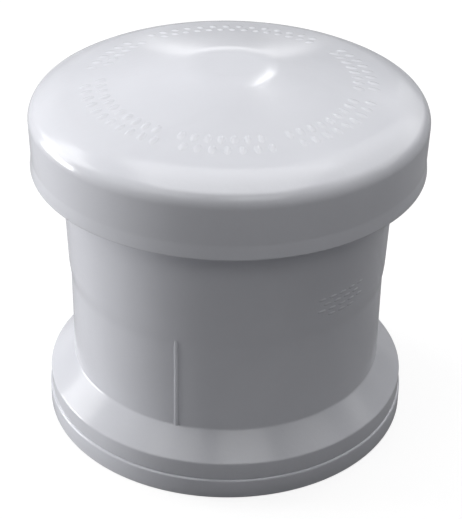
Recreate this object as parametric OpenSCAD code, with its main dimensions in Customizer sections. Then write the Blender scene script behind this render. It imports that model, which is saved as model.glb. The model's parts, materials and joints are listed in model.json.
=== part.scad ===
// Two-way vent valve for the top of a drain stack, pushed over the end of a plastic pipe.
// A ring valve lets air in when the stack sucks, and a small disc valve in the middle
// lets air out when the stack blows. Both are shut by their own weight.
// The origin is the middle of the foot, where the valve stands, and +Z is up.

/* [Pipe socket] */
// Outside diameter of the drain pipe that the socket takes
pipe_d = 110; // [100:1:125]
// Gap between the pipe and the socket bore, all round
pipe_clearance = 0.4; // [0.2:0.1:0.8]
// Wall of the socket
socket_wall = 3.3; // [2.6:0.1:4.5]
// Height of the pipe stop above the foot
socket_depth = 58; // [48:1:75]
// How far the pipe stop reaches inwards
stop_w = 2.6; // [1.5:0.1:4]
// Thickness of the pipe stop
stop_t = 2.5; // [2:0.1:4]

/* [Seal housing] */
// Depth of the seal groove outwards from the bore
seal_depth = 7.4; // [6:0.1:9]
// Height of the seal groove above the foot ring's floor
seal_h = 11.2; // [9:0.1:14]
// Material over the seal groove, up to the edge of the shoulder
groove_roof = 1.5; // [1.5:0.1:4]
// Wall round the seal groove
collar_wall = 3.2; // [2.5:0.1:4.5]
// Step that the foot ring butts against
collar_step = 1.8; // [0.5:0.1:2]
// Angle of the shoulder above the collar
shoulder_angle = 43; // [35:1:55]
// Radius of the collar's edge, where the shoulder starts
collar_edge_r = 1; // [0.6:0.1:3]
// Radius of the hollow where the shoulder meets the socket
shoulder_foot_r = 0.8; // [0.4:0.1:2]
// Gap between the pipe and the seal's lip, drawn pressed back as by a pipe
lip_clearance = 0.2; // [0.1:0.05:0.4]

/* [Foot ring] */
// Height of the snap ring that holds the seal in
foot_h = 8; // [7:0.1:12]
// Wall of the foot ring
foot_wall = 2.5; // [1.6:0.1:3.5]
// Thickness of the foot ring's floor
foot_floor = 2.3; // [1.6:0.1:3]
// Gap between the foot ring and the collar
foot_clearance = 0.1; // [0.05:0.05:0.3]
// Gap between the pipe and the hole in the foot ring
mouth_clearance = 0.9; // [0.5:0.1:2]
// How far the snap bead stands out
snap_bead = 0.5; // [0.3:0.1:0.8]
// Height of the snap bead
snap_h = 1.4; // [1:0.1:2]
// Rounding of the foot ring's edges
foot_edge_r = 0.8; // [0.4:0.1:1]

/* [Chamber] */
// Height from the pipe stop to the rim of the body
chamber_h = 46.3; // [38:0.1:60]
// How much further out the rim is than the socket
chamber_flare = 2.1; // [1:0.1:4]
// Wall of the chamber
chamber_wall = 3.2; // [2.4:0.1:4.5]
// Height of the soft step where the socket becomes the chamber
step_h = 5.4; // [4:0.1:10]
// How far the soft step stands out
step_w = 0.7; // [0.3:0.1:1.5]
// Depth of the ledge that carries the throat, below the rim
ledge_depth = 12.5; // [10:0.1:16]
// Width of that ledge
ledge_w = 3.2; // [2.5:0.1:5]
// Thickness of that ledge at its edge
ledge_t = 2.4; // [1.5:0.1:4]
// How far the bead on the rim stands out, under the grille
rim_bead_w = 1.5; // [1:0.1:2.5]
// Height of the bead on the rim
rim_bead_h = 1.7; // [1.2:0.1:3]
// Width of the upright moulding seam on the socket
seam_w = 1.1; // [0.6:0.1:2]
// How far the seam stands out
seam_h = 0.5; // [0.2:0.05:1]
// How far the seam runs up past the pipe stop, into the soft step
seam_rise = 3.3; // [0:0.1:4]
// Place of the seam, in degrees left of the front
seam_angle = 17.5; // [0:0.5:60]

/* [Throat] */
// Inside diameter of the throat
throat_d = 61; // [54:0.5:66]
// Wall of the throat
throat_wall = 2.5; // [2:0.1:3.5]
// Thickness of the plate round the throat
plate_t = 2.5; // [2:0.1:4]
// Thickness of the round seal ring at the plate's edge
o_ring_d = 2.6; // [2:0.1:3.2]
// Material above and below the groove of that ring
o_ring_land = 1.1; // [0.8:0.1:2]
// Gap between the throat and the chamber wall
insert_clearance = 0.25; // [0.1:0.05:0.5]
// Height of the gussets at the foot of the throat
gusset_h = 9; // [4:0.5:13]
// Thickness of the gussets
gusset_t = 2; // [1.5:0.1:3]
// Radius of the throat's rounded mouth
mouth_r = 3; // [1:0.1:4]

/* [Valve seats] */
// Width of each seat bead
bead_w = 1.6; // [1.2:0.1:2.4]
// Height of each seat bead
bead_h = 0.6; // [0.4:0.1:1]
// Mean diameter of the outer seat
outer_seat_d = 99.2; // [94:0.1:101]
// How far a seal reaches past its seat
seat_overlap = 1.2; // [0.8:0.1:1.6]
// Gap between a seal and its seat, as drawn
seat_gap = 0.2; // [0.1:0.05:0.3]

/* [Window ring] */
// Number of air windows
window_n = 12; // [6:6:12]
// Width of an air window
window_w = 22; // [16:0.5:22.5]
// Height of an air window
window_h = 4; // [3:0.1:7]
// Wall of the window ring
ring_wall = 2.6; // [2:0.1:3.2]
// Thickness of the ring's flange on the body's rim
base_t = 1.7; // [1.2:0.1:3]
// Thickness of the ring over the windows
ring_top_t = 2; // [1.5:0.1:3]
// Number of cover screws
screw_n = 6; // [3, 6]
// Diameter of the cover screws
screw_d = 2.8; // [2.4:0.1:3.2]
// Diameter of a screw's head
screw_head_d = 4.6; // [4:0.1:4.8]
// Height of a screw's head
screw_head_h = 1.8; // [1.2:0.1:2.6]
// Length of a screw under its head
screw_len = 9; // [6.5:0.1:9.5]
// Gap between a screw's head and the cover's wall
head_clearance = 0.2; // [0.1:0.1:0.5]
// Diameter of the screw bosses
boss_d = 6; // [5.4:0.1:6.4]
// How far the wall with the windows stands in from the middle of the bosses
boss_offset = 0.45; // [0:0.05:1]
// Gap between a screw and its pilot hole, all round
pilot_clearance = 0.05; // [0.02:0.01:0.1]
// Gap between a screw and its hole in the cover, all round
screw_hole_clearance = 0.2; // [0.1:0.05:0.4]

/* [Inlet valve] */
// Thickness of the rubber membrane
membrane_t = 1.6; // [1:0.1:2.5]
// Thickness of the carrier plate
carrier_t = 1.6; // [1.2:0.1:2.5]
// Height of the ribs on the carrier
carrier_rib_h = 1; // [0.5:0.1:2]
// Thickness of the carrier's ribs
carrier_rib_t = 1.6; // [1.2:0.1:2.4]
// Thickness of the ring that clamps the membrane
clamp_t = 1.2; // [0.8:0.1:2]
// Width of the clamp ring
clamp_w = 9; // [7:0.1:11]
// Diameter of the rivets
rivet_d = 2.4; // [2:0.1:3]
// Number of rivets
rivet_n = 9; // [6:1:12]
// How far the ring valve lifts
inlet_lift = 5.5; // [3:0.1:7]
// Gap over the carrier when it is fully up
lift_clearance = 0.3; // [0.2:0.1:1]
// Gap between the carrier and its guides
guide_clearance = 0.4; // [0.3:0.05:0.8]

/* [Chamber cover] */
// Wall and roof of the chamber cover
cover_wall = 2; // [1.5:0.1:2.6]
// Thickness of the cover's flange
flange_t = 2; // [1.5:0.1:3]
// How far the flange stands out past the window ring
flange_over = 0.4; // [0.2:0.1:1]
// Thickness of the flat gasket under the cover
gasket_t = 0.8; // [0.5:0.1:1.5]
// How far the guides stand in from the cover's wall
guide_w = 1.3; // [1:0.1:1.6]
// Thickness of a guide
guide_t = 3; // [2:0.5:5]
// Number of guides
guide_n = 6; // [3:1:12]
// Radius of the cover's top edge
cover_edge_r = 1.5; // [0.8:0.1:1.9]

/* [Relief valve] */
// Gap between the relief cup and the ring valve
cup_clearance = 1.75; // [1:0.05:3]
// Wall of the relief cup
cup_wall = 2; // [1.5:0.1:3]
// Depth of the relief cup below the cover's roof
cup_depth = 9.3; // [8:0.1:11]
// How far the cup's flange laps over the cover
cup_lap = 3; // [2:0.1:5]
// Thickness of the cup's flange
cup_flange_t = 1.5; // [1:0.1:2]
// Diameter of the relief port
port_d = 26.4; // [20:0.1:30]
// Thickness of the rubber seal disc
relief_seal_t = 1.5; // [1:0.1:2]
// Thickness of the relief disc
relief_disc_t = 2; // [1.5:0.1:2.5]
// How far the relief disc reaches past its seal
relief_disc_over = 1; // [0:0.1:2]
// Height of the hub on the relief disc
relief_hub_h = 1; // [0.5:0.1:1.5]
// Diameter of the guide hubs and the relief disc's hub
hub_d = 9; // [7:0.1:11]
// Length of the guide hub in the port
port_hub_h = 4; // [3:0.1:5]
// Thickness of the arms of the guide hub
arm_t = 1.8; // [1.4:0.1:2.4]
// Diameter of the stem
stem_d = 4; // [3:0.1:5]
// Running gap between the stem and its guides
stem_clearance = 0.08; // [0.04:0.01:0.1]
// Gap between the stem and the pieces fixed on it
stem_fix_clearance = 0.02; // [0.01:0.01:0.03]
// Thickness of the washer under the seal disc
washer_t = 0.6; // [0.4:0.05:0.65]
// Diameter of the washer
washer_d = 12; // [9:0.5:18]
// Thickness of the spring clip on the stem
clip_t = 0.6; // [0.4:0.1:0.9]
// Diameter of the spring clip
clip_d = 8; // [6.5:0.1:8.8]
// How far the relief disc lifts
relief_lift = 4.5; // [3:0.1:5.2]

/* [Relief cage] */
// Width of the cage's rings
cage_w = 3.2; // [2.4:0.1:4.5]
// Height of the cage's base ring
cage_base_h = 1.5; // [1:0.1:2.5]
// Height of the cage's top ring and arms
cage_top_h = 1.8; // [1.4:0.1:2.4]
// Height of the cage's guide hub
cage_hub_h = 2.5; // [2.4:0.1:3.5]
// How far the stem reaches into the cage's guide hub when shut
stem_engage = 1.2; // [0.8:0.1:2]
// Gap between the clip and the cage at full lift
cage_clearance = 0.7; // [0.3:0.1:1]
// Number of cage legs
cage_leg_n = 4; // [3:1:6]
// Width of a cage leg
cage_leg_w = 4; // [3:0.1:6]

/* [Outer cap] */
// Wall of the outer cap
cap_wall = 3; // [2.4:0.1:3.8]
// Air gap between the body's rim and the cap's skirt
skirt_gap = 8.2; // [7:0.1:11]
// How far the skirt reaches below the body's rim
skirt_overlap = 1.8; // [0.5:0.1:6]
// Radius of the cap's top edge
cap_edge_r = 4.2; // [3.6:0.1:6]
// Rise of the roof for each millimetre inwards
roof_slope = 0.22; // [0.18:0.01:0.3]
// Air gap between the chamber cover's edge and the roof
roof_gap = 2.7; // [2.1:0.1:4]
// Diameter of the round crown in the middle of the roof
crown_d = 25.4; // [20:0.1:34]
// Radius of the crown's edge
crown_edge_r = 7; // [5:0.5:12]
// Radius of the skirt's lower edge
skirt_edge_r = 0.7; // [0.4:0.1:1]
// Height of the flared lip at the foot of the skirt
lip_h = 5.4; // [3:0.1:10]
// How far the lip flares out
lip_w = 0.5; // [0.2:0.05:0.8]
// Number of legs and roof ribs
cap_leg_n = 6; // [3, 6]
// Thickness of a leg
cap_leg_t = 2; // [1.5:0.1:2.6]
// Width of a leg
cap_leg_w = 10; // [6:0.1:14]
// Gap between a leg and the cover's flange
leg_clearance = 0.4; // [0.2:0.1:0.8]
// How far a leg's hook reaches under the cover's flange
hook_w = 0.9; // [0.6:0.1:1.2]
// Height of a leg's hook
hook_h = 1.8; // [1.4:0.1:2.4]
// Gap between the cup's flange and the ribs under the roof
roof_rib_gap = 4; // [1:0.5:10]
// Thickness of the ribs under the roof
roof_rib_t = 2; // [1.4:0.1:3]
// Gap between pieces that rest close to each other
seat_clearance = 0.3; // [0.1:0.05:0.5]

/* [Insect grille] */
// Thickness of the grille
grille_t = 1.6; // [1.2:0.1:2.4]
// Number of slots
slot_n = 96; // [48:1:108]
// Width of a slot
slot_w = 2; // [1.4:0.1:2.4]
// Width of the solid ring inside the slots
grille_hub_w = 2.4; // [2:0.1:3]
// Width of the solid ring outside the slots
grille_band_w = 1.2; // [0.8:0.1:2]

/* [Hidden] */
$fn = 96;
// Overshoot of cutting shapes
eps = 0.5;
// How far a rib or bead runs into the wall that carries it
weld = 0.5;

// Radii of the socket and its seal housing
bore_r = pipe_d / 2 + pipe_clearance;
socket_r = bore_r + socket_wall;
groove_r = bore_r + seal_depth;
neck_r = groove_r + collar_wall;
collar_r = neck_r + collar_step;
foot_in_r = neck_r + foot_clearance;
foot_r = foot_in_r + foot_wall;
mouth_hole_r = pipe_d / 2 + mouth_clearance;

// Heights of the socket and its seal housing
groove_z = foot_floor + seal_h;
bore_z = groove_z + seal_depth * tan(shoulder_angle);
collar_z = groove_z + groove_roof;
shoulder_z = collar_z + (collar_r - socket_r) * tan(shoulder_angle);
// Turn of the collar's edge, from the upright wall to the shoulder's slope
collar_turn = 90 - shoulder_angle;
snap_z = foot_floor + (foot_h - foot_floor) / 2;

// Chamber of the body
rim_z = socket_depth + chamber_h;
rim_r = socket_r + chamber_flare;
chamber_r = rim_r - chamber_wall;
ledge_z = rim_z - ledge_depth;
step_z = socket_depth + step_h;
step_in_r = socket_r + step_w - chamber_wall;

// Throat that drops onto the ledge
throat_r = throat_d / 2;
throat_out_r = throat_r + throat_wall;
insert_r = chamber_r - insert_clearance;
o_ring_centre_r = chamber_r - o_ring_d / 2;
groove_gap = 0.1;
// How far the throat's edge reaches in past the window ring that stands on it
seat_lap = 0.8;
edge_z = ledge_z + 2 * o_ring_land + o_ring_d + 2 * groove_gap;
o_ring_z = (ledge_z + edge_z) / 2;

// Window ring on the rim, which carries the outer seat
ring_in_r = insert_r - ring_wall;
window_z = rim_z + base_t;
ring_z = window_z + window_h + ring_top_t;
seat_z = ring_z + bead_h;
outer_seat_r = outer_seat_d / 2;
inner_seat_r = throat_r + throat_wall / 2;
pilot_r = screw_d / 2 + pilot_clearance;
// Turn of the cap's legs and ribs and the cover's guides, so that they miss the screws
between_screws = 30;

// Ring valve that lets air in
membrane_z = seat_z + seat_gap;
membrane_in_r = inner_seat_r - bead_w / 2 - seat_overlap;
membrane_out_r = outer_seat_r + bead_w / 2 + seat_overlap;
carrier_z = membrane_z + membrane_t;
carrier_top_z = carrier_z + carrier_t;
clamp_r = (inner_seat_r + outer_seat_r) / 2;
rivet_r = rivet_d / 2;
rivet_head_r = rivet_r * 1.8;
rivet_head_h = 0.6;

// Cover over the ring valve
flange_z = ring_z + gasket_t;
cover_in_r = membrane_out_r + guide_clearance + guide_w;
cover_out_r = cover_in_r + cover_wall;
cover_roof_z = carrier_top_z + carrier_rib_h + inlet_lift + lift_clearance;
cover_z = cover_roof_z + cover_wall;

// Screws close to the cover's wall, and what stands round them on the body's rim
boss_r = cover_out_r + head_clearance + screw_head_d / 2;
ring_out_r = max(rim_r, boss_r + boss_d / 2);
wall_out_r = boss_r - boss_offset;
wall_in_r = wall_out_r - ring_wall;
flange_r = ring_out_r + flange_over;

// Cup, disc and stem that let air out
cup_r = membrane_in_r - cup_clearance;
cup_in_r = cup_r - cup_wall;
cup_bottom_z = cover_z - cup_depth;
cup_floor_z = cup_bottom_z + cup_wall;
port_r = port_d / 2;
relief_seat_z = cup_floor_z + bead_h;
relief_seal_z = relief_seat_z + seat_gap;
relief_seal_r = port_r + bead_w + seat_overlap;
relief_disc_z = relief_seal_z + relief_seal_t;
relief_disc_r = relief_seal_r + relief_disc_over;
clip_z = relief_disc_z + relief_disc_t + relief_hub_h;
stem_r = stem_d / 2;
hub_r = hub_d / 2;
cage_r = cup_in_r - seat_clearance;
cage_hub_z = clip_z + clip_t + relief_lift + cage_clearance;
cage_z = cage_hub_z + cage_hub_h;
stem_top_z = cage_hub_z + stem_engage;
stem_low_z = cup_floor_z - port_hub_h - relief_lift;

// Outer cap: the roof is a cone that clears the cover's edge
skirt_in_r = ring_out_r + skirt_gap;
cap_r = skirt_in_r + cap_wall;
skirt_z = rim_z - skirt_overlap;
roof_angle = atan(roof_slope);
crown_r = crown_d / 2;
roof_in_r = cover_out_r;
roof_in_z = cover_z + roof_gap;
roof_t = cap_wall / cos(roof_angle);
function roof_under(r) = roof_in_z + (roof_in_r - r) * roof_slope;
function roof_over(r) = roof_under(r) + roof_t;
skirt_r = cap_r - lip_w;
// Centre of the arc that joins the skirt to the roof
edge_c_r = skirt_r - cap_edge_r;
edge_c_z = roof_over(edge_c_r) - cap_edge_r / cos(roof_angle);
leg_in_r = flange_r + leg_clearance;

// Insect grille, which lies on the rim's bead
grille_z = rim_z + grille_t;
rim_bead_r = ring_out_r + rim_bead_w;
grille_in_r = ring_out_r + seat_clearance;
grille_r = skirt_in_r - seat_clearance;
slot_in_r = grille_in_r + grille_hub_w;
slot_out_r = grille_r - grille_band_w;

white = [0.93, 0.93, 0.92];
off_white = [0.85, 0.86, 0.86];
rubber = [0.13, 0.13, 0.14];
steel = [0.72, 0.73, 0.75];

// Points of an arc about c, from angle a to angle b in n steps
function arc(c, r, a, b, n = 6) =
    [for (i = [0:n]) c + r * [cos(a + (b - a) * i / n), sin(a + (b - a) * i / n)]];

// Share of a soft step at share t of its height
function smooth(t) = t * t * (3 - 2 * t);

// Copies the child n times round the axis
module around(n, start = 0) {
    for (i = [0:n - 1]) {
        rotate([0, 0, start + i * 360 / n]) children();
    }
}

// Flat ring from z0 to z1
module ring(r_in, r_out, z0, z1) {
    rotate_extrude() translate([r_in, z0]) square([r_out - r_in, z1 - z0]);
}

// Seat bead with a round top, standing on z
module seat_bead(r, z) {
    rotate_extrude() {
        translate([r - bead_w / 2, z - weld]) square([bead_w, bead_h - bead_w / 4 + weld]);
        translate([r, z + bead_h - bead_w / 4]) intersection() {
            circle(bead_w / 2, $fn = 32);
            translate([-bead_w / 2, 0]) square([bead_w, bead_w / 4]);
        }
    }
}

// Body: pipe socket below, wider air chamber above
module valve_body() {
    edge_c = [collar_r - collar_edge_r, collar_z - collar_edge_r * tan(collar_turn / 2)];
    foot_c = [socket_r + shoulder_foot_r, shoulder_z + shoulder_foot_r * tan(collar_turn / 2)];
    slope_r = (rim_r - socket_r - step_w) / (rim_z - step_z);
    ledge_low_z = ledge_z - ledge_t;
    ledge_in_r = chamber_r - ledge_w;
    under_r = step_in_r + slope_r * (ledge_low_z - ledge_w - step_z);
    outside = concat(
        [[groove_r, foot_floor]],
        [[neck_r, foot_floor]],
        [[neck_r, snap_z - snap_h / 2], [neck_r + snap_bead, snap_z], [neck_r, snap_z + snap_h / 2]],
        [[neck_r, foot_h], [collar_r, foot_h]],
        arc(edge_c, collar_edge_r, 0, collar_turn, 6),
        arc(foot_c, shoulder_foot_r, 180 + collar_turn, 180, 4),
        [for (i = [0:8]) [socket_r + step_w * smooth(i / 8), socket_depth + step_h * i / 8]],
        [[rim_r, rim_z - rim_bead_h - rim_bead_w / 2]],
        [[rim_bead_r, rim_z - rim_bead_h + rim_bead_w / 2]],
        [[rim_bead_r, rim_z]]
    );
    inside = [
        [chamber_r, rim_z],
        [chamber_r, ledge_z],
        [ledge_in_r, ledge_z],
        [ledge_in_r, ledge_low_z],
        [under_r, ledge_low_z - ledge_w],
        [step_in_r, step_z],
        [bore_r - stop_w, socket_depth + stop_t],
        [bore_r - stop_w, socket_depth],
        [bore_r, socket_depth],
        [bore_r, bore_z],
        [groove_r, groove_z]
    ];
    color(white) {
        rotate_extrude($fn = 180) polygon(concat(outside, inside));
        rotate([0, 0, -90 - seam_angle]) translate([socket_r - weld, -seam_w / 2, shoulder_z - weld])
            cube([weld + seam_h, seam_w, socket_depth + seam_rise - shoulder_z + weld]);
    }
}

// Foot ring: snaps over the collar and holds the pipe seal in
module foot_ring() {
    chamfer = 0.6;
    groove_half_h = snap_h / 2 + foot_clearance;
    profile = concat(
        [[mouth_hole_r, chamfer], [mouth_hole_r + chamfer, 0]],
        arc([foot_r - foot_edge_r, foot_edge_r], foot_edge_r, -90, 0, 5),
        arc([foot_r - foot_edge_r, foot_h - foot_edge_r], foot_edge_r, 0, 90, 5),
        [[foot_in_r, foot_h]],
        [[foot_in_r, snap_z + groove_half_h]],
        [[foot_in_r + snap_bead, snap_z]],
        [[foot_in_r, snap_z - groove_half_h]],
        [[foot_in_r, foot_floor], [mouth_hole_r, foot_floor]]
    );
    color(white) rotate_extrude($fn = 180) polygon(profile);
}

// Rubber seal: a bead in the groove and two lips towards the pipe
module pipe_seal() {
    free = 0.15;
    chamfer = 1;
    lip_t = 1.2;
    back_r = groove_r - free;
    front_r = back_r - seal_depth * 0.45;
    lip_r = pipe_d / 2 + lip_clearance;
    top_z = groove_z - free;
    h = top_z - foot_floor;
    profile = [
        [back_r, foot_floor],
        [back_r, top_z - chamfer],
        [back_r - chamfer, top_z],
        [lip_r + lip_t, top_z],
        [lip_r + lip_t, top_z - h * 0.1],
        [front_r, top_z - h * 0.3],
        [front_r, foot_floor + h * 0.42],
        [lip_r + lip_t, foot_floor + h * 0.74],
        [lip_r, foot_floor + h * 0.74],
        [lip_r, foot_floor + h * 0.6],
        [front_r - lip_t / 2, foot_floor]
    ];
    color(rubber) rotate_extrude() polygon(profile);
}

// Throat: a plate that closes the chamber, with a tube that carries the inner seat
module throat() {
    groove_in_r = chamber_r - o_ring_d - groove_gap;
    groove_low_z = ledge_z + o_ring_land;
    edge_in_r = ring_in_r - seat_lap;
    mouth = arc([throat_r + mouth_r, ledge_z + mouth_r], mouth_r, 180, 270, 6);
    profile = concat(
        [[throat_r, ring_z]],
        mouth,
        [[insert_r, ledge_z], [insert_r, groove_low_z]],
        [[groove_in_r, groove_low_z], [groove_in_r, edge_z - o_ring_land]],
        [[insert_r, edge_z - o_ring_land], [insert_r, edge_z]],
        [[edge_in_r, edge_z], [edge_in_r, ledge_z + plate_t]],
        [[throat_out_r + mouth_r, ledge_z + plate_t]],
        [[throat_out_r, ledge_z + plate_t + mouth_r]],
        [[throat_out_r, ring_z]]
    );
    color(off_white) {
        rotate_extrude() polygon(profile);
        seat_bead(inner_seat_r, ring_z);
        around(4, 45) {
            rotate([90, 0, 0]) translate([0, 0, -gusset_t / 2]) linear_extrude(gusset_t)
                polygon([
                    [throat_out_r - weld, ledge_z + plate_t - weld],
                    [throat_out_r + gusset_h, ledge_z + plate_t - weld],
                    [throat_out_r + gusset_h, ledge_z + plate_t],
                    [throat_out_r, ledge_z + plate_t + gusset_h],
                    [throat_out_r - weld, ledge_z + plate_t + gusset_h]
                ]);
        }
    }
}

// Round rubber ring between the throat's edge and the chamber wall
module throat_o_ring() {
    color(rubber) rotate_extrude()
        translate([o_ring_centre_r, o_ring_z]) circle(o_ring_d / 2, $fn = 48);
}

// Window ring: air windows, screw bosses and the outer seat
module window_ring() {
    top_in_r = outer_seat_r - bead_w / 2 - seat_lap / 2;
    color(off_white) difference() {
        union() {
            ring(ring_in_r, insert_r, edge_z, window_z);
            ring(min(ring_in_r, wall_in_r), ring_out_r, rim_z, window_z);
            ring(wall_in_r, wall_out_r, rim_z, ring_z);
            ring(top_in_r, wall_out_r, ring_z - ring_top_t, ring_z);
            seat_bead(outer_seat_r, ring_z);
            around(screw_n) translate([boss_r, 0, rim_z]) cylinder(d = boss_d, h = ring_z - rim_z, $fn = 32);
        }
        around(window_n, 180 / window_n) {
            translate([wall_in_r * cos(180 / window_n), -window_w / 2, window_z])
                cube([ring_out_r, window_w, window_h]);
        }
        around(screw_n) translate([boss_r, 0, flange_z + flange_t - screw_len - eps])
            cylinder(r = pilot_r, h = screw_len, $fn = 32);
    }
}

// Flat gasket between the window ring and the cover
module cover_gasket() {
    gasket_out_r = boss_r - screw_d / 2 - seat_clearance;
    color(rubber) ring(membrane_out_r + guide_clearance, gasket_out_r, ring_z, flange_z);
}

// Cover over the ring valve: the lift stop, the guides and a hole for the relief cup
module chamber_cover() {
    hole_r = cup_r + seat_clearance;
    outside = concat(
        [[cover_in_r, flange_z], [flange_r, flange_z], [flange_r, flange_z + flange_t]],
        [[cover_out_r, flange_z + flange_t]],
        arc([cover_out_r - cover_edge_r, cover_z - cover_edge_r], cover_edge_r, 0, 90, 5)
    );
    inside = [
        [hole_r, cover_z],
        [hole_r, cover_roof_z],
        [cover_in_r, cover_roof_z]
    ];
    color(off_white) difference() {
        union() {
            rotate_extrude() polygon(concat(outside, inside));
            around(guide_n, between_screws) translate([cover_in_r - guide_w, -guide_t / 2, flange_z])
                cube([guide_w + weld, guide_t, cover_roof_z - flange_z + weld]);
        }
        around(screw_n) translate([boss_r, 0, flange_z - eps])
            cylinder(r = screw_d / 2 + screw_hole_clearance, h = flange_t + 2 * eps, $fn = 32);
    }
}

// Screws that hold the cover on the window ring
module cover_screws() {
    top_z = flange_z + flange_t;
    slot_l = screw_head_d * 0.7;
    slot_t = 0.6;
    slot_depth = 0.7;
    slot_z = top_z + screw_head_h - slot_depth;
    color(steel) around(screw_n) translate([boss_r, 0, 0]) difference() {
        union() {
            translate([0, 0, top_z - screw_len]) cylinder(d = screw_d, h = screw_len + weld, $fn = 32);
            translate([0, 0, top_z]) cylinder(d = screw_head_d, h = screw_head_h, $fn = 32);
        }
        translate([-slot_l / 2, -slot_t / 2, slot_z]) cube([slot_l, slot_t, slot_depth + eps]);
        translate([-slot_t / 2, -slot_l / 2, slot_z]) cube([slot_t, slot_l, slot_depth + eps]);
    }
}

// Hub on n arms, with a bore that guides the stem
module guide_hub(n, reach, z0, z1, arm_z, arm_h) {
    difference() {
        union() {
            translate([0, 0, z0]) cylinder(r = hub_r, h = z1 - z0, $fn = 48);
            around(n) translate([hub_r - weld, -arm_t / 2, arm_z])
                cube([reach - hub_r + 2 * weld, arm_t, arm_h]);
        }
        translate([0, 0, z0 - eps]) cylinder(r = stem_r + stem_clearance, h = z1 - z0 + 2 * eps, $fn = 48);
    }
}

// Cup in the middle of the cover, with the relief port and its seat
module relief_cup() {
    profile = [
        [port_r, cup_bottom_z],
        [cup_r, cup_bottom_z],
        [cup_r, cover_z],
        [cup_r + cup_lap, cover_z],
        [cup_r + cup_lap, cover_z + cup_flange_t],
        [cup_in_r, cover_z + cup_flange_t],
        [cup_in_r, cup_floor_z],
        [port_r, cup_floor_z]
    ];
    color(off_white) {
        rotate_extrude() polygon(profile);
        seat_bead(port_r + bead_w / 2, cup_floor_z);
        guide_hub(3, port_r, cup_floor_z - port_hub_h, cup_floor_z, cup_bottom_z, cup_wall);
    }
}

// Cage that stands in the cup, guides the stem's top end and stops the lift
module relief_cage() {
    cage_in_r = cage_r - cage_w;
    color(off_white) {
        ring(cage_in_r, cage_r, cup_floor_z, cup_floor_z + cage_base_h);
        ring(cage_in_r, cage_r, cage_z - cage_top_h, cage_z);
        intersection() {
            ring(cage_in_r, cage_r, cup_floor_z, cage_z);
            around(cage_leg_n) translate([0, -cage_leg_w / 2, cup_floor_z])
                cube([cage_r, cage_leg_w, cage_z - cup_floor_z]);
        }
        guide_hub(cage_leg_n, cage_in_r, cage_hub_z, cage_z, cage_z - cage_top_h, cage_top_h);
    }
}

// Half section of the outer cap: flared lip, skirt, rounded edge, coned roof and flat crown
module cap_section() {
    crown_c = [crown_r, roof_over(crown_r)] - crown_edge_r * [sin(roof_angle), cos(roof_angle)];
    polygon(concat(
        [[skirt_in_r, skirt_z]],
        arc([cap_r - skirt_edge_r, skirt_z + skirt_edge_r], skirt_edge_r, -90, 0, 4),
        [[skirt_r, skirt_z + lip_h]],
        arc([edge_c_r, edge_c_z], cap_edge_r, 0, 90 - roof_angle, 12),
        arc(crown_c, crown_edge_r, 90 - roof_angle, 90, 4),
        [[0, crown_c[1] + crown_edge_r]],
        [[0, roof_under(crown_r)], [crown_r, roof_under(crown_r)]],
        [[edge_c_r, roof_under(edge_c_r)], [skirt_in_r, edge_c_z]]
    ));
}

// Outer cap: roof and skirt, ribs that stand on the cover and legs that hook under it
module outer_cap() {
    leg_z = grille_z + seat_clearance;
    hook_z = flange_z - seat_clearance;
    leg_out_r = leg_in_r + cap_leg_t;
    leg_top_z = roof_under(leg_out_r) + weld;
    hook_tip_h = 0.3;
    rib_in_r = cup_r + cup_lap + roof_rib_gap;
    rib_out_r = cover_out_r - cover_edge_r;
    color(white) {
        rotate_extrude($fn = 180) cap_section();
        intersection() {
            rotate_extrude() polygon([
                [leg_in_r, leg_z],
                [leg_out_r, leg_z],
                [leg_out_r, leg_top_z],
                [leg_in_r, leg_top_z],
                [leg_in_r, hook_z],
                [flange_r - hook_w, hook_z],
                [flange_r - hook_w, hook_z - hook_tip_h],
                [leg_in_r, hook_z - hook_h]
            ]);
            around(cap_leg_n, between_screws) translate([0, -cap_leg_w / 2, leg_z])
                cube([cap_r, cap_leg_w, leg_top_z - leg_z]);
        }
        around(cap_leg_n, between_screws) rotate([90, 0, 0]) translate([0, 0, -roof_rib_t / 2])
            linear_extrude(roof_rib_t) polygon([
                [rib_in_r, cover_z],
                [rib_out_r, cover_z],
                [rib_out_r, roof_under(rib_out_r) + weld],
                [rib_in_r, roof_under(rib_in_r) + weld]
            ]);
    }
}

// Slotted ring that keeps insects out of the air gap under the skirt
module insect_grille() {
    color(off_white) difference() {
        ring(grille_in_r, grille_r, rim_z, grille_z);
        around(slot_n) translate([slot_in_r, -slot_w / 2, rim_z - eps])
            cube([slot_out_r - slot_in_r, slot_w, grille_t + 2 * eps]);
    }
}

// Stiff ring plate of the inlet valve, with two round ribs
module inlet_carrier() {
    color(off_white) difference() {
        union() {
            ring(membrane_in_r, membrane_out_r, carrier_z, carrier_top_z);
            ring(membrane_in_r, membrane_in_r + carrier_rib_t, carrier_z, carrier_top_z + carrier_rib_h);
            ring(membrane_out_r - carrier_rib_t, membrane_out_r, carrier_z, carrier_top_z + carrier_rib_h);
            around(rivet_n, 180 / rivet_n) translate([membrane_in_r + weld, -carrier_rib_t / 2, carrier_z])
                cube([membrane_out_r - membrane_in_r - 2 * weld, carrier_rib_t, carrier_t + carrier_rib_h]);
        }
        around(rivet_n) translate([clamp_r, 0, carrier_z - eps])
            cylinder(r = rivet_r + stem_fix_clearance, h = carrier_t + 2 * eps, $fn = 32);
    }
}

// Rubber ring that closes both seats
module inlet_membrane() {
    color(rubber) difference() {
        ring(membrane_in_r, membrane_out_r, membrane_z, carrier_z);
        around(rivet_n) translate([clamp_r, 0, membrane_z - eps])
            cylinder(r = rivet_r + stem_fix_clearance, h = membrane_t + 2 * eps, $fn = 32);
    }
}

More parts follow.
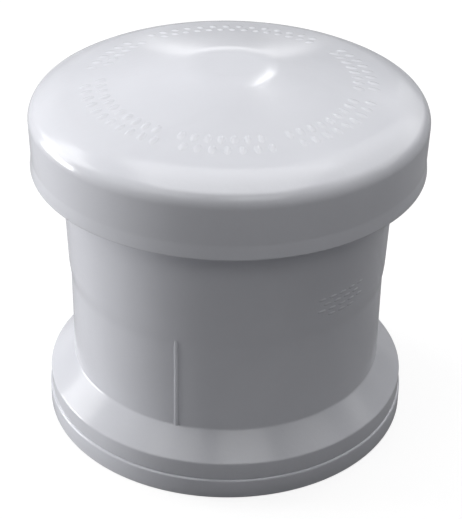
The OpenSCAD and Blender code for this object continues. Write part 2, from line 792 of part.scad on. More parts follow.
// Ring under the membrane, between the seats
module membrane_clamp() {
    color(off_white) difference() {
        ring(clamp_r - clamp_w / 2, clamp_r + clamp_w / 2, membrane_z - clamp_t, membrane_z);
        around(rivet_n) translate([clamp_r, 0, membrane_z - clamp_t - eps])
            cylinder(r = rivet_r + stem_fix_clearance, h = clamp_t + 2 * eps, $fn = 32);
    }
}

// Rivets through clamp, membrane and carrier
module clamp_rivets() {
    low_z = membrane_z - clamp_t - rivet_head_h;
    high_z = carrier_top_z + rivet_head_h;
    color(steel) around(rivet_n) translate([clamp_r, 0, 0]) {
        translate([0, 0, low_z]) cylinder(r = rivet_head_r, h = rivet_head_h, $fn = 32);
        translate([0, 0, low_z]) cylinder(r = rivet_r, h = high_z - low_z, $fn = 32);
        translate([0, 0, carrier_top_z]) cylinder(r = rivet_head_r, h = rivet_head_h, $fn = 32);
    }
}

// Plastic disc of the relief valve
module relief_disc() {
    color(off_white) difference() {
        union() {
            translate([0, 0, relief_disc_z]) cylinder(r = relief_disc_r, h = relief_disc_t);
            translate([0, 0, relief_disc_z]) cylinder(r = hub_r, h = relief_disc_t + relief_hub_h, $fn = 48);
        }
        translate([0, 0, relief_disc_z - eps])
            cylinder(r = stem_r + stem_fix_clearance, h = relief_disc_t + relief_hub_h + 2 * eps, $fn = 48);
    }
}

// Rubber disc that closes the relief port
module relief_seal() {
    color(rubber) ring(stem_r + stem_fix_clearance, relief_seal_r, relief_seal_z, relief_disc_z);
}

// Washer that holds the rubber disc on the stem
module relief_washer() {
    color(steel) ring(stem_r + stem_fix_clearance, washer_d / 2, relief_seal_z - washer_t, relief_seal_z);
}

// Stem with rounded ends
module relief_stem() {
    tip = 0.6;
    profile = [
        [0, stem_low_z],
        [stem_r - tip, stem_low_z],
        [stem_r, stem_low_z + tip],
        [stem_r, stem_top_z - tip],
        [stem_r - tip, stem_top_z],
        [0, stem_top_z]
    ];
    color(steel) rotate_extrude($fn = 48) polygon(profile);
}

// Spring clip that keeps the relief disc on the stem
module stem_clip() {
    color(steel) ring(stem_r + stem_fix_clearance, clip_d / 2, clip_z, clip_z + clip_t);
}

valve_body();
foot_ring();
pipe_seal();
throat();
throat_o_ring();
window_ring();
cover_gasket();
chamber_cover();
cover_screws();
relief_cup();
relief_cage();
outer_cap();
insect_grille();
inlet_carrier();
inlet_membrane();
membrane_clamp();
clamp_rivets();
relief_disc();
relief_seal();
relief_washer();
relief_stem();
stem_clip();
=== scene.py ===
import json
import math

import bmesh
import bpy
from mathutils import Matrix, Vector

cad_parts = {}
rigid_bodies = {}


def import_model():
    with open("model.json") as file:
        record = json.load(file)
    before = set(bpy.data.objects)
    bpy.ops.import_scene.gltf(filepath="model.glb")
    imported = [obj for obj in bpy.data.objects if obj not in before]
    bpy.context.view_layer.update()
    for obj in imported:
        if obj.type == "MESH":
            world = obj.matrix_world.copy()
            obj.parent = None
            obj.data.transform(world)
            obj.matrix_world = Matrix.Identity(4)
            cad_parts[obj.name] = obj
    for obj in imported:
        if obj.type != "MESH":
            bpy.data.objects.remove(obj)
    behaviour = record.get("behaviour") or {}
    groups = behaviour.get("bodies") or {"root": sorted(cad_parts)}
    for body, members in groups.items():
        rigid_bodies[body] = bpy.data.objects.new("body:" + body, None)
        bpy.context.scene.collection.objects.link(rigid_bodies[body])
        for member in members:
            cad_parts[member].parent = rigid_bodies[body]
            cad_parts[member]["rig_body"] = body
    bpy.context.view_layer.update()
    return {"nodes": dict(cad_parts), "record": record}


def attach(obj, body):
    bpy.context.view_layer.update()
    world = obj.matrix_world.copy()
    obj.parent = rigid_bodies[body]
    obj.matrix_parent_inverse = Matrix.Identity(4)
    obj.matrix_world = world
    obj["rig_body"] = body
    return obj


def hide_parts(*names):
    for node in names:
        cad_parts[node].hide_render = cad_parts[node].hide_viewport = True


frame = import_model()
nodes = frame["nodes"]
print("frame loaded:", len(nodes), "parts")

mm = 0.001      # metres; the object's sizes and the camera's place are given in millimetres


# Camera first: the angle, distance and framing of the photograph

cameraSetup = {
    "distance": 595.2, "aimHeight": 57.6,
    "lookDown": 31.71,      # degrees under the horizon
    "roll": 0.92,           # degrees that the picture is turned
    "lens": 108.9, "filmWidth": 36, "shift": (0.0078, 0.0065),
    "clipStart": 10,
}


def makeCamera():
    look = cameraSetup
    camera = bpy.data.cameras.new("camera")
    camera.lens = look["lens"]
    camera.sensor_width = look["filmWidth"]
    camera.shift_x, camera.shift_y = look["shift"]
    camera.clip_start = look["clipStart"] * mm
    cameraObject = bpy.data.objects.new("camera", camera)
    bpy.context.scene.collection.objects.link(cameraObject)
    down = math.radians(look["lookDown"])
    far = look["distance"] * mm
    place = Vector((0, -far * math.cos(down), look["aimHeight"] * mm + far * math.sin(down)))
    tilt = Matrix.Rotation(math.pi / 2 - down, 4, "X")
    roll = Matrix.Rotation(math.radians(look["roll"]), 4, "Z")
    cameraObject.matrix_world = Matrix.Translation(place) @ tilt @ roll
    bpy.context.scene.camera = cameraObject


makeCamera()
print("camera placed")


# Nodes and sockets

def addNode(tree, kind, settings=(), inputs=()):
    node = tree.nodes.new(kind)
    for name, value in dict(settings).items():
        setattr(node, name, value)
    for name, value in dict(inputs).items():
        node.inputs[name].default_value = value
    return node


def newGroup(name, inputs, outputs):
    # inputs are (name, default); outputs are names, all plain values
    tree = bpy.data.node_groups.new(name, "ShaderNodeTree")
    for label, default in inputs:
        socket = tree.interface.new_socket(name=label, in_out="INPUT", socket_type="NodeSocketFloat")
        socket.default_value = default
    for label in outputs:
        tree.interface.new_socket(name=label, in_out="OUTPUT", socket_type="NodeSocketFloat")
    return tree, addNode(tree, "NodeGroupInput"), addNode(tree, "NodeGroupOutput")


skinNoise = {
    "peel": {"Detail": 1.0, "Roughness": 0.45},
    "wave": {"Detail": 1.5, "Roughness": 0.5},
    "cloud": {"Scale": 24.0, "Detail": 3.0, "Distortion": 0.8},
    "gloss": {"Scale": 90.0, "Detail": 4.0, "Roughness": 0.6},
}


def mouldedSkinGroup():
    # Surface of a moulded piece: a fine orange peel over slow waves, faint clouds and uneven gloss
    tree, given, result = newGroup(
        "mouldedSkin",
        [("Peel Scale", 700.0), ("Wave Scale", 55.0), ("Wave Share", 0.6)],
        ["Height", "Cloud", "Gloss"],
    )
    place = addNode(tree, "ShaderNodeTexCoord")
    noise = {name: addNode(tree, "ShaderNodeTexNoise", inputs=values) for name, values in skinNoise.items()}
    for texture in noise.values():
        tree.links.new(place.outputs["Object"], texture.inputs["Vector"])
    mix = addNode(tree, "ShaderNodeMix", {"data_type": "FLOAT"})
    tree.links.new(given.outputs["Peel Scale"], noise["peel"].inputs["Scale"])
    tree.links.new(given.outputs["Wave Scale"], noise["wave"].inputs["Scale"])
    tree.links.new(given.outputs["Wave Share"], mix.inputs["Factor"])
    tree.links.new(noise["peel"].outputs["Fac"], mix.inputs["A"])
    tree.links.new(noise["wave"].outputs["Fac"], mix.inputs["B"])
    tree.links.new(mix.outputs["Result"], result.inputs["Height"])
    tree.links.new(noise["cloud"].outputs["Fac"], result.inputs["Cloud"])
    tree.links.new(noise["gloss"].outputs["Fac"], result.inputs["Gloss"])
    return tree


skinGroup = mouldedSkinGroup()
noiseSpan = (0.3, 0.7)      # most values of a noise texture lie between these


def remap(tree, source, low, high):
    node = addNode(tree, "ShaderNodeMapRange", inputs={
        "From Min": noiseSpan[0], "From Max": noiseSpan[1], "To Min": low, "To Max": high,
    })
    tree.links.new(source, node.inputs["Value"])
    return node.outputs["Result"]


def newMaterial(name):
    material = bpy.data.materials.new(name)
    material.use_nodes = True
    tree = material.node_tree
    return material, tree, tree.nodes["Principled BSDF"]


def dressShader(tree, look, tone, gloss, relief):
    # Colour between dark and light, roughness and bump, each led by a value that varies over the piece
    shader = tree.nodes["Principled BSDF"]
    colour = addNode(tree, "ShaderNodeMix", {"data_type": "RGBA"})
    colour.inputs["A"].default_value = look["dark"]
    colour.inputs["B"].default_value = look["light"]
    bump = addNode(tree, "ShaderNodeBump", inputs={"Distance": look["relief"] * mm})
    tree.links.new(remap(tree, tone, 0, 1), colour.inputs["Factor"])
    tree.links.new(colour.outputs["Result"], shader.inputs["Base Color"])
    tree.links.new(remap(tree, gloss, *look["rough"]), shader.inputs["Roughness"])
    tree.links.new(relief, bump.inputs["Height"])
    tree.links.new(bump.outputs["Normal"], shader.inputs["Normal"])


def moulded(name, look):
    material, tree, shader = newMaterial(name)
    skin = addNode(tree, "ShaderNodeGroup", {"node_tree": skinGroup}, {
        "Peel Scale": look["peel"], "Wave Scale": look["wave"], "Wave Share": look["waveShare"],
    })
    dressShader(tree, look, skin.outputs["Cloud"], skin.outputs["Gloss"], skin.outputs["Height"])
    shader.inputs["IOR"].default_value = look["ior"]
    return material


# Glossy white outside, with a breath of blue. relief is the height of the bump in millimetres
bodyPlastic = {
    "light": (0.82, 0.83, 0.88, 1), "dark": (0.785, 0.795, 0.845, 1), "rough": (0.15, 0.2), "ior": 1.53,
    "peel": 700.0, "wave": 55.0, "waveShare": 0.6, "relief": 0.06,
}

# Inner pieces are duller and a little darker
innerPlastic = {
    "light": (0.78, 0.79, 0.8, 1), "dark": (0.72, 0.73, 0.745, 1), "rough": (0.38, 0.5), "ior": 1.53,
    "peel": 1500.0, "wave": 120.0, "waveShare": 0.3, "relief": 0.04,
}

# Seals, the gasket and the membrane
blackRubber = {
    "light": (0.045, 0.046, 0.05, 1), "dark": (0.02, 0.02, 0.022, 1), "rough": (0.5, 0.72), "ior": 1.52,
    "peel": 2600.0, "wave": 300.0, "waveShare": 0.35, "relief": 0.05,
}

# Stainless screws, rivets, stem, washer and clip, with fine rings about the upright axis
turnedSteel = {
    "light": (0.68, 0.69, 0.7, 1), "dark": (0.5, 0.51, 0.53, 1), "rough": (0.28, 0.4),
    "stretch": (0.4, 0.4, 14), "grain": 900.0, "detail": 3.0, "relief": 0.01,
}


def steel(name, look):
    material, tree, shader = newMaterial(name)
    place = addNode(tree, "ShaderNodeTexCoord")
    rings = addNode(tree, "ShaderNodeMapping", inputs={"Scale": look["stretch"]})
    grain = addNode(tree, "ShaderNodeTexNoise", inputs={"Scale": look["grain"], "Detail": look["detail"]})
    tree.links.new(place.outputs["Object"], rings.inputs["Vector"])
    tree.links.new(rings.outputs["Vector"], grain.inputs["Vector"])
    dressShader(tree, look, grain.outputs["Fac"], grain.outputs["Fac"], grain.outputs["Fac"])
    shader.inputs["Metallic"].default_value = 1.0
    return material


materials = {
    "body_plastic": moulded("bodyPlastic", bodyPlastic),
    "inner_plastic": moulded("innerPlastic", innerPlastic),
    "rubber": moulded("blackRubber", blackRubber),
    "steel": steel("turnedSteel", turnedSteel),
}
print("materials made:", len(materials))


# Shaping helpers, which take millimetres

meshSetup = {
    "turnSteps": 240, "cornerSegments": 8, "blockSegments": 3, "outlineSegments": 2,
    "mergeDistance": 0.001,
    "sharpAngle": 34,       # degrees between two faces, past which their edge is shaded sharp
}


def turned(corners, closed=True):
    # A solid of revolution. corners are (radius, height, softening); softening is how far a
    # corner is cut back along both of its sides before it is rounded
    bm = bmesh.new()
    verts = [bm.verts.new((radius * mm, 0, height * mm)) for radius, height, _ in corners]
    following = verts[1:] + verts[:1] if closed else verts[1:]
    for a, b in zip(verts, following):
        bm.edges.new((a, b))
    for vert, (_, _, softening) in zip(verts, corners):
        if softening:
            bmesh.ops.bevel(
                bm, geom=[vert], offset=softening * mm, offset_type="OFFSET", affect="VERTICES",
                segments=meshSetup["cornerSegments"], profile=0.5, material=-1, clamp_overlap=True,
            )
    bmesh.ops.spin(
        bm, geom=bm.verts[:] + bm.edges[:], cent=(0, 0, 0), axis=(0, 0, 1), dvec=(0, 0, 0),
        angle=math.tau, steps=meshSetup["turnSteps"], use_merge=True, use_duplicate=False,
    )
    bmesh.ops.remove_doubles(bm, verts=bm.verts[:], dist=meshSetup["mergeDistance"] * mm)
    bmesh.ops.recalc_face_normals(bm, faces=bm.faces[:])
    return bm


def softenEdges(bm, softening, segments):
    bmesh.ops.bevel(
        bm, geom=bm.edges[:], offset=softening * mm, offset_type="OFFSET", affect="EDGES",
        segments=segments, profile=0.5, material=-1, clamp_overlap=True,
    )


def softBlock(size, softening):
    # A block with rounded edges, centred on the origin
    bm = bmesh.new()
    bmesh.ops.create_cube(bm, size=1)
    bmesh.ops.scale(bm, vec=[side * mm for side in size], verts=bm.verts[:])
    softenEdges(bm, softening, meshSetup["blockSegments"])
    return bm


padBall = {
    "segments": 20, "rings": 12,
    "halfSpan": 0.64,       # the ball's half length and half width, as shares of the pad's
    "sunk": 1.6,            # how deep the ball's middle lies, as a share of the pad's height
}


def lowPad(length, width, rise):
    # A soft oval pad on the X-Y plane: the top of a flat ball whose middle lies below it
    bm = bmesh.new()
    bmesh.ops.create_uvsphere(bm, u_segments=padBall["segments"], v_segments=padBall["rings"], radius=1)
    half = (length * padBall["halfSpan"], width * padBall["halfSpan"], rise * (1 + padBall["sunk"]))
    bmesh.ops.scale(bm, vec=[side * mm for side in half], verts=bm.verts[:])
    bmesh.ops.translate(bm, vec=(0, 0, -padBall["sunk"] * rise * mm), verts=bm.verts[:])
    return bm


def pulledOutline(points, thickness, softening):
    # A flat outline in the X-Z plane, pulled out along Y to both sides, with its edges softened
    bm = bmesh.new()
    face = bm.faces.new([bm.verts.new((x * mm, -thickness * mm / 2, z * mm)) for x, z in points])
    pulled = bmesh.ops.extrude_face_region(bm, geom=[face])
    moved = [v for v in pulled["geom"] if isinstance(v, bmesh.types.BMVert)]
    bmesh.ops.translate(bm, vec=(0, thickness * mm, 0), verts=moved)
    bmesh.ops.recalc_face_normals(bm, faces=bm.faces[:])
    softenEdges(bm, softening, meshSetup["outlineSegments"])
    return bm


def leanAndPlace(bm, lean, radius, height):
    # lean turns the shape about Y by an angle, and then it goes out along X and up
    bmesh.ops.rotate(bm, cent=(0, 0, 0), matrix=Matrix.Rotation(lean, 3, "Y"), verts=bm.verts[:])
    bmesh.ops.translate(bm, vec=(radius * mm, 0, height * mm), verts=bm.verts[:])


def fromFront(degrees):
    # A turn about the axis that brings what lies on X to this many degrees right of the front
    return math.radians(degrees - 90)


def joinTo(bm, other, turn):
    # Adds a copy of other, turned about the axis
    copy = other.copy()
    bmesh.ops.rotate(copy, cent=(0, 0, 0), matrix=Matrix.Rotation(turn, 3, "Z"), verts=copy.verts[:])
    mesh = bpy.data.meshes.new("part")
    copy.to_mesh(mesh)
    copy.free()
    bm.from_mesh(mesh)
    bpy.data.meshes.remove(mesh)


def finishPiece(name, bm, body, slotName, replaced=()):
    mesh = bpy.data.meshes.new(name)
    for face in bm.faces:
        face.smooth = True
    bm.to_mesh(mesh)
    bm.free()
    mesh.set_sharp_from_angle(angle=math.radians(meshSetup["sharpAngle"]))
    mesh.materials.append(materials[slotName])
    piece = bpy.data.objects.new(name, mesh)
    bpy.context.scene.collection.objects.link(piece)
    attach(piece, body)
    if replaced:
        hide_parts(*replaced)
    return piece


# Outer cap

capSize = {
    "radius": 71.95, "wall": 3.0, "bottom": 102.5,
    "lip": (5.4, 0.5),              # how high the flare over the bottom reaches, and how far it stands out
    "edgeOut": 71.92, "edgeRadius": 6.2,                # where roof and skirt meet, and the rounding there
    "roofSlope": 0.2, "roofStart": (55.3, 128.35),      # radius and height where the roof clears the cover
    "bend": (63.0, 0.55, 4.0),      # radius past which the roof falls faster, its slope there, softening
    "crownRadius": 14.0, "crownRounding": 45.0, "crownUnder": 12.7,
    "insideDrop": 2.0,              # from the roof's underside down to where the skirt's inside starts
    "softening": {
        "crownUnder": 0.4, "roofUnder": 0.8, "skirtIn": 0.6, "bottomIn": 0.2, "bottomOut": 0.7, "lip": 0.5,
    },
}
legSize = {
    "count": 6, "turn": 30, "inside": 61.6, "wall": 2.0, "width": 10.0, "bottom": 106.2,
    "hookTop": 112.5, "hookTip": 60.3, "hookHeight": 1.8, "hookNose": 0.3, "softening": 0.12,
}
ribSize = {"span": (35.0, 53.8), "foot": 124.8, "wall": 2.0, "softening": 0.2}
rootDepth = 0.8     # how far legs and ribs reach into the roof


def roofUnder(radius):
    # Height of the roof's underside
    bend, edgeSlope, _ = capSize["bend"]
    startRadius, startHeight = capSize["roofStart"]
    height = startHeight + (startRadius - radius) * capSize["roofSlope"]
    return height - max(0, radius - bend) * (edgeSlope - capSize["roofSlope"])


def roofTop(radius):
    return roofUnder(radius) + capSize["wall"] * math.hypot(1, capSize["roofSlope"])


def capShell():
    size = capSize
    soft = size["softening"]
    inner = size["radius"] - size["wall"]
    lipHeight, lipOut = size["lip"]
    bend, edgeSlope, bendSoftening = size["bend"]
    edgeInside = size["edgeOut"] - size["edgeRadius"]
    # A rounding of radius R between two sides is cut back by R times the tangent of half their turn
    edgeCut = size["edgeRadius"] * math.tan((math.pi / 2 - math.atan(edgeSlope)) / 2)
    crownCut = size["crownRounding"] * math.tan(math.atan(size["roofSlope"]) / 2)
    return turned([
        (0, roofUnder(size["crownUnder"]), 0),
        (size["crownUnder"], roofUnder(size["crownUnder"]), soft["crownUnder"]),
        (bend, roofUnder(bend), bendSoftening / 2),
        (edgeInside, roofUnder(edgeInside), soft["roofUnder"]),
        (inner, roofUnder(inner) - size["insideDrop"], soft["skirtIn"]),
        (inner, size["bottom"], soft["bottomIn"]),
        (size["radius"], size["bottom"], soft["bottomOut"]),
        (size["radius"] - lipOut, size["bottom"] + lipHeight, soft["lip"]),
        (size["edgeOut"], roofTop(size["edgeOut"]), edgeCut),
        (bend, roofTop(bend), bendSoftening),
        (size["crownRadius"], roofTop(size["crownRadius"]), crownCut),
        (0, roofTop(size["crownRadius"]), 0),
    ], closed=False)


def capLeg():
    # A leg down from the roof, with a hook that snaps under the cover's flange
    size = legSize
    inside, outside = size["inside"], size["inside"] + size["wall"]
    return pulledOutline([
        (inside, size["bottom"]),
        (outside, size["bottom"]),
        (outside, roofUnder(outside) + rootDepth),
        (inside, roofUnder(inside) + rootDepth),
        (inside, size["hookTop"]),
        (size["hookTip"], size["hookTop"]),
        (size["hookTip"], size["hookTop"] - size["hookNose"]),
        (inside, size["hookTop"] - size["hookHeight"]),
    ], size["width"], size["softening"])


def capRib():
    # A rib under the roof, which stands on the cover
    near, far = ribSize["span"]
    return pulledOutline([
        (near, ribSize["foot"]),
        (far, ribSize["foot"]),
        (far, roofUnder(far) + rootDepth),
        (near, roofUnder(near) + rootDepth),
    ], ribSize["wall"], ribSize["softening"])


def makeOuterCap():
    bm, leg, rib = capShell(), capLeg(), capRib()
    for k in range(legSize["count"]):
        turn = math.radians(legSize["turn"] + k * 360 / legSize["count"])
        joinTo(bm, leg, turn)
        joinTo(bm, rib, turn)
    leg.free()
    rib.free()
    return finishPiece("outerCapShell", bm, "housing", "body_plastic", ["outer_cap"])


makeOuterCap()
print("outer cap made")


# Two broken rows of low pads round the roof

roofPads = {
    "rows": [(45.6, 0.0), (51.0, 0.5)],     # radius, and share of the pitch by which the row is turned
    "length": 4.6, "width": 2.7, "height": 0.3,
    "pitch": 5.6,                           # degrees
    "runs": [(-88, 11), (-20, 7), (26, 9), (84, 8), (140, 14), (226, 6)],   # start in degrees, how many
}


def makeRoofPads():
    look = roofPads
    bm = bmesh.new()
    for radius, shift in look["rows"]:
        pad = lowPad(look["length"], look["width"], look["height"])
        leanAndPlace(pad, math.atan(capSize["roofSlope"]), radius, roofTop(radius))
        for start, count in look["runs"]:
            for k in range(count):
                joinTo(bm, pad, fromFront(start + (k + shift) * look["pitch"]))
        pad.free()
    return finishPiece("roofPads", bm, "housing", "body_plastic")


makeRoofPads()
print("roof pads made")


# Valve body

bodySize = {
    "bore": 55.4, "boreStart": 20.4, "socket": 58.7,
    "stopIn": 52.8, "stopHeights": (58.0, 60.5),        # the ledge that the pipe comes up against
    "grooveRadius": 62.8, "grooveTop": 13.5,            # the seal's room
    "neck": 66.0, "neckBottom": 2.3,
    "snap": (5.15, 0.7, 0.5),                           # height, half width and stand-out of the bead
    "collar": 68.0, "collarFoot": 8.0, "collarTop": 15.0, "shoulderTop": 23.49,
    "stepOut": 59.4, "stepTop": 63.4, "rim": 60.8, "rimTop": 104.3,
    "beadOut": 62.3, "beadHeight": 1.7, "beadRamp": 0.75,       # ramp: half height of its sloping foot
    "chamberIn": 57.6, "chamberFoot": 56.2,
    "ledge": 91.8, "ledgeIn": 54.4, "ledgeUnder": 89.4, "ledgeRoot": (57.0, 86.2),
    "softening": {
        "neckIn": 0.1, "neck": 0.2, "snap": 0.2, "collarFoot": 0.5, "collarTop": 0.45, "shoulder": 0.5,
        "stepFoot": 1.6, "stepTop": 1.8, "beadFoot": 0.2, "bead": 0.25, "rim": 0.2, "rimIn": 0.3,
        "ledgeCorner": 0.15, "ledge": 0.3, "ledgeRoot": 0.6, "chamberFoot": 0.5,
        "stop": 0.3, "stopRoot": 0.2, "boreStart": 0.4, "groove": 0.3,
    },
}
seamSize = {"turn": -17.0, "width": 1.6, "height": 0.3, "top": 61.3, "sunk": 0.5, "softening": 0.3}


def bodyShell():
    size = bodySize
    soft = size["softening"]
    stopLow, stopHigh = size["stopHeights"]
    snap, half, proud = size["snap"]
    beadFoot = size["rimTop"] - size["beadHeight"]
    return turned([
        (size["grooveRadius"], size["neckBottom"], soft["neckIn"]),
        (size["neck"], size["neckBottom"], soft["neck"]),
        (size["neck"], snap - half, 0),
        (size["neck"] + proud, snap, soft["snap"]),
        (size["neck"], snap + half, 0),
        (size["neck"], size["collarFoot"], 0),
        (size["collar"], size["collarFoot"], soft["collarFoot"]),
        (size["collar"], size["collarTop"], soft["collarTop"]),
        (size["socket"], size["shoulderTop"], soft["shoulder"]),
        (size["socket"], stopLow, soft["stepFoot"]),
        (size["stepOut"], size["stepTop"], soft["stepTop"]),
        (size["rim"], beadFoot - size["beadRamp"], soft["beadFoot"]),
        (size["beadOut"], beadFoot + size["beadRamp"], soft["bead"]),
        (size["beadOut"], size["rimTop"], soft["rim"]),
        (size["chamberIn"], size["rimTop"], soft["rimIn"]),
        (size["chamberIn"], size["ledge"], soft["ledgeCorner"]),
        (size["ledgeIn"], size["ledge"], soft["ledge"]),
        (size["ledgeIn"], size["ledgeUnder"], soft["ledge"]),
        (*size["ledgeRoot"], soft["ledgeRoot"]),
        (size["chamberFoot"], size["stepTop"], soft["chamberFoot"]),
        (size["stopIn"], stopHigh, soft["stop"]),
        (size["stopIn"], stopLow, soft["stop"]),
        (size["bore"], stopLow, soft["stopRoot"]),
        (size["bore"], size["boreStart"], soft["boreStart"]),
        (size["grooveRadius"], size["grooveTop"], soft["groove"]),
    ])


def bodySeam():
    # The moulding seam stands on the socket's wall, from the shoulder up to the step
    size = seamSize
    foot = bodySize["shoulderTop"] - size["sunk"]
    seam = softBlock((2 * size["height"], size["width"], size["top"] - foot), size["softening"])
    leanAndPlace(seam, 0, bodySize["socket"], (foot + size["top"]) / 2)
    return seam


def makeValveBody():
    bm, seam = bodyShell(), bodySeam()
    joinTo(bm, seam, fromFront(seamSize["turn"]))
    seam.free()
    return finishPiece("valveBodyShell", bm, "housing", "body_plastic", ["valve_body"])


makeValveBody()
print("valve body made")


# Short lines of low dashes on the front right of the body

bodyPads = {
    "turn": 43, "lines": [(73.6, 5), (71.2, 4), (68.8, 5), (66.4, 3)],      # height, how many
    "size": (1.1, 3.4, 0.3), "pitch": 4.5,      # height, width and stand-out; degrees
}


def bodyWall(height):
    # Radius of the air chamber's outside
    size = bodySize
    share = (height - size["stepTop"]) / (size["rimTop"] - size["beadHeight"] - size["stepTop"])
    return size["stepOut"] + (size["rim"] - size["stepOut"]) * share


def makeBodyPads():
    look = bodyPads
    bm = bmesh.new()
    for height, count in look["lines"]:
        pad = lowPad(*look["size"])
        leanAndPlace(pad, math.pi / 2, bodyWall(height), height)
        for k in range(count):
            joinTo(bm, pad, fromFront(look["turn"] + (k - (count - 1) / 2) * look["pitch"]))
        pad.free()
    return finishPiece("bodyPads", bm, "housing", "body_plastic")


makeBodyPads()
print("body pads made")


# Foot ring

footSize = {
    "mouth": 55.9, "inside": 66.1, "outside": 68.6, "height": 8.0, "floor": 2.3,
    "snap": (5.15, 0.8, 0.5),       # height, half width and depth of the snap groove
    "softening": {"mouth": 0.6, "outside": 0.8, "top": 0.15, "snap": 0.1, "floor": 0.2},
}


def makeFootRing():
    size = footSize
    soft = size["softening"]
    snap, half, deep = size["snap"]
    bm = turned([
        (size["mouth"], 0, soft["mouth"]),
        (size["outside"], 0, soft["outside"]),
        (size["outside"], size["height"], soft["outside"]),
        (size["inside"], size["height"], soft["top"]),
        (size["inside"], snap + half, 0),
        (size["inside"] + deep, snap, soft["snap"]),
        (size["inside"], snap - half, 0),
        (size["inside"], size["floor"], soft["floor"]),
        (size["mouth"], size["floor"], soft["floor"]),
    ])
    return finishPiece("footRingShell", bm, "housing", "body_plastic", ["foot_ring"])


makeFootRing()
print("foot ring made")


# Inner parts keep their solids' form; a merged copy of each gets smooth walls and soft edges

innerParts = {
    # name: width of its softened edges
    "throat": 0.25, "window_ring": 0.2, "chamber_cover": 0.25, "relief_cup": 0.2, "relief_cage": 0.2,
    "insect_grille": 0.12, "inlet_carrier": 0.15, "membrane_clamp": 0.12, "relief_disc": 0.2,
    "pipe_seal": 0.2, "throat_o_ring": 0, "cover_gasket": 0.1, "inlet_membrane": 0.15, "relief_seal": 0.15,
    "cover_screws": 0.08, "clamp_rivets": 0.1, "relief_washer": 0.06, "relief_stem": 0.05, "stem_clip": 0.06,
}
innerFinish = {"flatWithin": 0.5, "edgeOver": 40, "segments": 2}       # degrees, degrees, steps of an edge
slotOf = {entry["node"]: entry["material_slot"] for entry in frame["record"]["subparts"]}


def softenedCopy(nodeName, edge):
    node = nodes[nodeName]
    bm = bmesh.new()
    bm.from_mesh(node.data)
    bmesh.ops.remove_doubles(bm, verts=bm.verts[:], dist=meshSetup["mergeDistance"] * mm)
    flat = math.radians(innerFinish["flatWithin"])
    bmesh.ops.dissolve_limit(bm, angle_limit=flat, verts=bm.verts[:], edges=bm.edges[:])
    piece = finishPiece(nodeName + "Finished", bm, node["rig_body"], slotOf[nodeName], [nodeName])
    if edge:
        soft = piece.modifiers.new("softEdges", "BEVEL")
        soft.width = edge * mm
        soft.segments = innerFinish["segments"]
        soft.limit_method = "ANGLE"
        soft.angle_limit = math.radians(innerFinish["edgeOver"])
        soft.harden_normals = False
    return piece


for nodeName, edge in innerParts.items():
    softenedCopy(nodeName, edge)
print("inner parts finished:", len(innerParts))


# Floor, light and sky. Their sizes are in metres

stageSetup = {
    "floorSize": 3.0, "floorRough": 0.9,
    "floorGlow": 0.82, "floorMirrored": 0.05,       # the floor's own light, as seen and as mirrored
    "floorSeen": (0.3, 0.3, 0.3, 1),                # its colour for the camera
    "floorBounce": (0.3, 0.3, 0.31, 1),             # its colour for light that goes on to the object
    "skyLight": 0.01, "skyTint": (0.93, 0.96, 1.0, 1),
}
white = (1, 1, 1, 1)


def paleFloor():
    # The camera sees the floor as white with a soft shadow; the object gets only a little light from it
    look = stageSetup
    material, tree, shader = newMaterial("paleFloor")
    path = addNode(tree, "ShaderNodeLightPath")
    colour = addNode(tree, "ShaderNodeMix", {"data_type": "RGBA"})
    colour.inputs["A"].default_value = look["floorBounce"]
    colour.inputs["B"].default_value = look["floorSeen"]
    tree.links.new(path.outputs["Is Camera Ray"], colour.inputs["Factor"])
    tree.links.new(colour.outputs["Result"], shader.inputs["Base Color"])
    shader.inputs["Roughness"].default_value = look["floorRough"]
    shader.inputs["Specular IOR Level"].default_value = 0.0
    shader.inputs["Emission Color"].default_value = white
    seen = addNode(tree, "ShaderNodeMath", {"operation": "MULTIPLY"}, {1: look["floorGlow"]})
    glow = addNode(tree, "ShaderNodeMath", {"operation": "MULTIPLY_ADD"}, {1: look["floorMirrored"]})
    tree.links.new(path.outputs["Is Camera Ray"], seen.inputs[0])
    tree.links.new(path.outputs["Is Glossy Ray"], glow.inputs[0])
    tree.links.new(seen.outputs[0], glow.inputs[2])
    tree.links.new(glow.outputs[0], shader.inputs["Emission Strength"])
    return material


def makeFloor():
    bm = bmesh.new()
    bmesh.ops.create_grid(bm, x_segments=1, y_segments=1, size=stageSetup["floorSize"] / 2)
    mesh = bpy.data.meshes.new("floor")
    bm.to_mesh(mesh)
    bm.free()
    mesh.materials.append(paleFloor())
    floor = bpy.data.objects.new("floor", mesh)
    bpy.context.scene.collection.objects.link(floor)


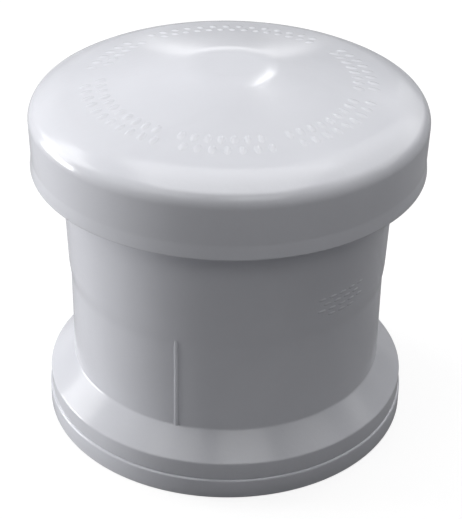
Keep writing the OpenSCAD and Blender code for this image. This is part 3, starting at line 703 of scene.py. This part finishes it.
def makeSky():
    # White for the camera, and nearly dark for the object
    world = bpy.data.worlds.new("studioSky")
    bpy.context.scene.world = world
    world.use_nodes = True
    tree = world.node_tree
    background = tree.nodes["Background"]
    path = addNode(tree, "ShaderNodeLightPath")
    strength = addNode(tree, "ShaderNodeMix", {"data_type": "FLOAT"})
    strength.inputs["A"].default_value = stageSetup["skyLight"]
    strength.inputs["B"].default_value = 1.0
    colour = addNode(tree, "ShaderNodeMix", {"data_type": "RGBA"})
    colour.inputs["A"].default_value = stageSetup["skyTint"]
    colour.inputs["B"].default_value = white
    for mix in (strength, colour):
        tree.links.new(path.outputs["Is Camera Ray"], mix.inputs["Factor"])
    tree.links.new(colour.outputs["Result"], background.inputs["Color"])
    tree.links.new(strength.outputs["Result"], background.inputs["Strength"])


lamps = {
    # name: degrees from the front to the right and over the horizon, distance, width, height, watts
    "overhead": (0, 90, 0.55, 0.5, 0.5, 1.69),
    "leftLow": (-102, 3, 1.3, 0.6, 0.34, 11.4),
    "leftHigh": (-110, 30, 1.3, 0.7, 0.8, 6.2),
    "leftFront": (-60, 35, 1.3, 0.7, 0.6, 0.56),
    "frontLeft": (-35, 40, 0.55, 0.25, 0.15, 0.114),
    "frontRight": (15, 40, 0.55, 0.25, 0.15, 0.19),
    "right": (65, 40, 1.3, 0.5, 0.4, 0.42),
    "backRight": (120, 42, 1.3, 1.2, 1.0, 4.2),
    "backLowRight": (140, 20, 1.3, 0.9, 0.5, 1.0),
    "backStrip": (171, 37, 1.3, 0.07, 0.34, 0.5),
    "backLow": (180, 12, 1.3, 0.4, 0.2, 0.3),
}
lampAim = 0.08      # height over the floor that every lamp points at


def makeLamps():
    aim = Vector((0, 0, lampAim))
    for name, (turn, rise, distance, width, height, watts) in lamps.items():
        lamp = bpy.data.lights.new(name, "AREA")
        lamp.shape = "RECTANGLE"
        lamp.size = width
        lamp.size_y = height
        lamp.energy = watts
        lampObject = bpy.data.objects.new(name, lamp)
        bpy.context.scene.collection.objects.link(lampObject)
        a, e = math.radians(turn), math.radians(rise)
        away = Vector((math.sin(a) * math.cos(e), -math.cos(a) * math.cos(e), math.sin(e)))
        lampObject.location = aim + distance * away
        lampObject.rotation_euler = away.to_track_quat("Z", "Y").to_euler()
        lampObject.visible_camera = False


makeFloor()
makeSky()
makeLamps()
bpy.context.scene.view_settings.view_transform = "Standard"
print("floor, sky and lamps made")
